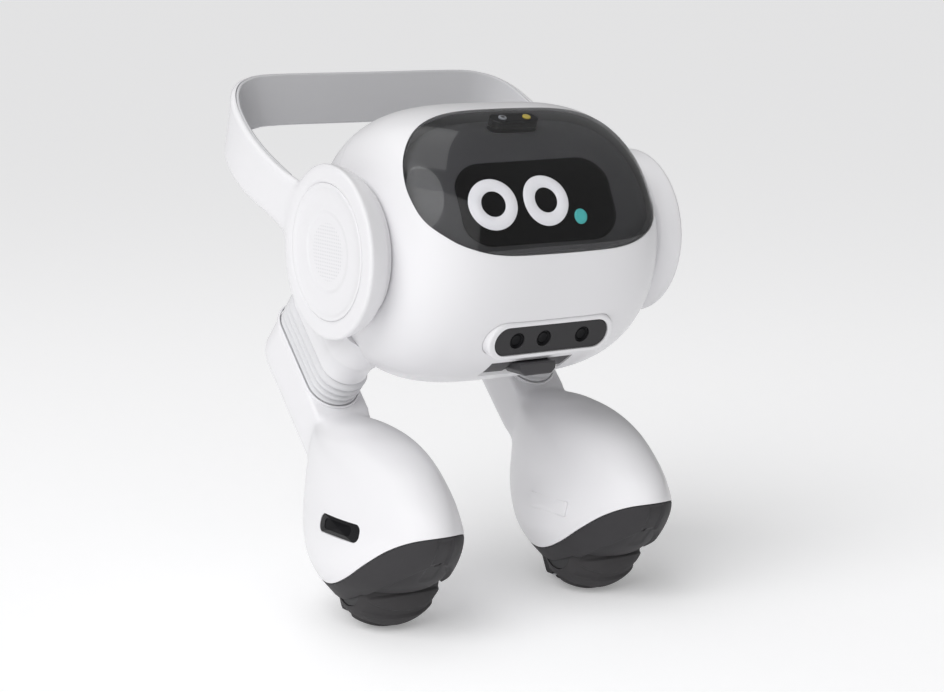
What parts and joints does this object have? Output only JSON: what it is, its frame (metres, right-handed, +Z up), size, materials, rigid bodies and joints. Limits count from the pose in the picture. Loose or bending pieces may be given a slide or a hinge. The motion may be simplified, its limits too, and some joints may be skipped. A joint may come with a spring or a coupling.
{
  "type": "two-legged wheeled companion robot",
  "caption": "Two-legged home companion robot: white drum body with a curved dark visor face, disc ears, carry handle, bellows hips and rounded feet on barrel wheels.",
  "frame": {"origin": "middle of the bounding box on the floor the wheels stand on", "axes": "+Z up, the face looks to -Y, the robot's right side is -X"},
  "size_m": [0.2882, 0.2822, 0.3983],
  "materials": {
    "white_shell": "white moulded plastic, satin gloss",
    "grey_cover": "light grey satin plastic",
    "smoked_visor": "smoked clear plastic, polished",
    "screen": "black screen",
    "black_gloss": "polished black window",
    "clear_lens": "pale lens",
    "amber_lens": "amber lens",
    "dark_bar": "dark grey plastic",
    "dark_sole": "dark grey soft-touch plastic",
    "boot_rubber": "pale grey ribbed rubber",
    "wheel_rubber": "dark grey tread rubber",
    "alloy": "turned alloy",
    "dark_frame": "black moulded plastic",
    "battery_wrap": "blue shrink-wrapped cells",
    "circuit_board": "green circuit board"
  },
  "bodies": {
    "body": {"body_front_shell": "white_shell", "body_rear_shell": "white_shell", "face_visor": "smoked_visor", "face_display": "screen", "display_bracket": "dark_frame", "top_sensor_bezel": "black_gloss", "top_camera_lens": "clear_lens", "top_light_sensor": "amber_lens", "chin_housing": "white_shell", "depth_camera_bar": "dark_bar", "depth_lens_right": "black_gloss", "depth_lens_middle": "black_gloss", "depth_lens_left": "black_gloss", "chin_recess_plate": "dark_bar", "chin_block": "dark_bar", "chassis_frame": "dark_frame", "battery_pack": "battery_wrap", "main_board": "circuit_board", "handle_shell": "white_shell", "handle_inner_cover": "grey_cover", "ear_housing_right": "white_shell", "ear_cover_right": "white_shell", "speaker_driver_right": "dark_frame", "hip_housing_right": "white_shell", "hip_bracket_right": "alloy", "hip_motor_right": "alloy", "hip_boot_right": "boot_rubber", "ear_housing_left": "white_shell", "ear_cover_left": "white_shell", "speaker_driver_left": "dark_frame", "hip_housing_left": "white_shell", "hip_bracket_left": "alloy", "hip_motor_left": "alloy", "hip_boot_left": "boot_rubber"},
    "leg_right": {"leg_shell_right": "white_shell", "leg_sole_right": "dark_sole", "side_sensor_window_right": "black_gloss", "inner_cover_right": "white_shell", "hip_shaft_right": "alloy", "hip_fork_right": "alloy", "wheel_axle_right": "alloy", "roller_pin_right": "alloy"},
    "wheel_right": {"wheel_tyre_right": "wheel_rubber", "wheel_hub_right": "dark_frame"},
    "roller_right": {"heel_roller_right": "wheel_rubber"},
    "leg_left": {"leg_shell_left": "white_shell", "leg_sole_left": "dark_sole", "side_sensor_window_left": "black_gloss", "inner_cover_left": "white_shell", "hip_shaft_left": "alloy", "hip_fork_left": "alloy", "wheel_axle_left": "alloy", "roller_pin_left": "alloy"},
    "wheel_left": {"wheel_tyre_left": "wheel_rubber", "wheel_hub_left": "dark_frame"},
    "roller_left": {"heel_roller_left": "wheel_rubber"}
  },
  "joints": [
    {"name": "hip_right", "type": "hinge", "parent": "body", "child": "leg_right", "pos_m": [-0.0918, 0.0453, 0.19601], "axis": [1, 0, 0], "range_deg": [-12, 12], "deforming": ["hip_boot_right"]},
    {"name": "wheel_spin_right", "type": "hinge", "parent": "leg_right", "child": "wheel_right", "pos_m": [-0.09435, -0.0516, 0.03655], "axis": [1, 0, 0], "continuous": true},
    {"name": "roller_spin_right", "type": "hinge", "parent": "leg_right", "child": "roller_right", "pos_m": [-0.09435, -0.02057, 0.00562], "axis": [1, 0, 0], "continuous": true},
    {"name": "hip_left", "type": "hinge", "parent": "body", "child": "leg_left", "pos_m": [0.0918, 0.0453, 0.19601], "axis": [1, 0, 0], "range_deg": [-12, 12], "deforming": ["hip_boot_left"]},
    {"name": "wheel_spin_left", "type": "hinge", "parent": "leg_left", "child": "wheel_left", "pos_m": [0.09435, -0.0516, 0.03655], "axis": [1, 0, 0], "continuous": true},
    {"name": "roller_spin_left", "type": "hinge", "parent": "leg_left", "child": "roller_left", "pos_m": [0.09435, -0.02057, 0.00562], "axis": [1, 0, 0], "continuous": true}
  ]
}
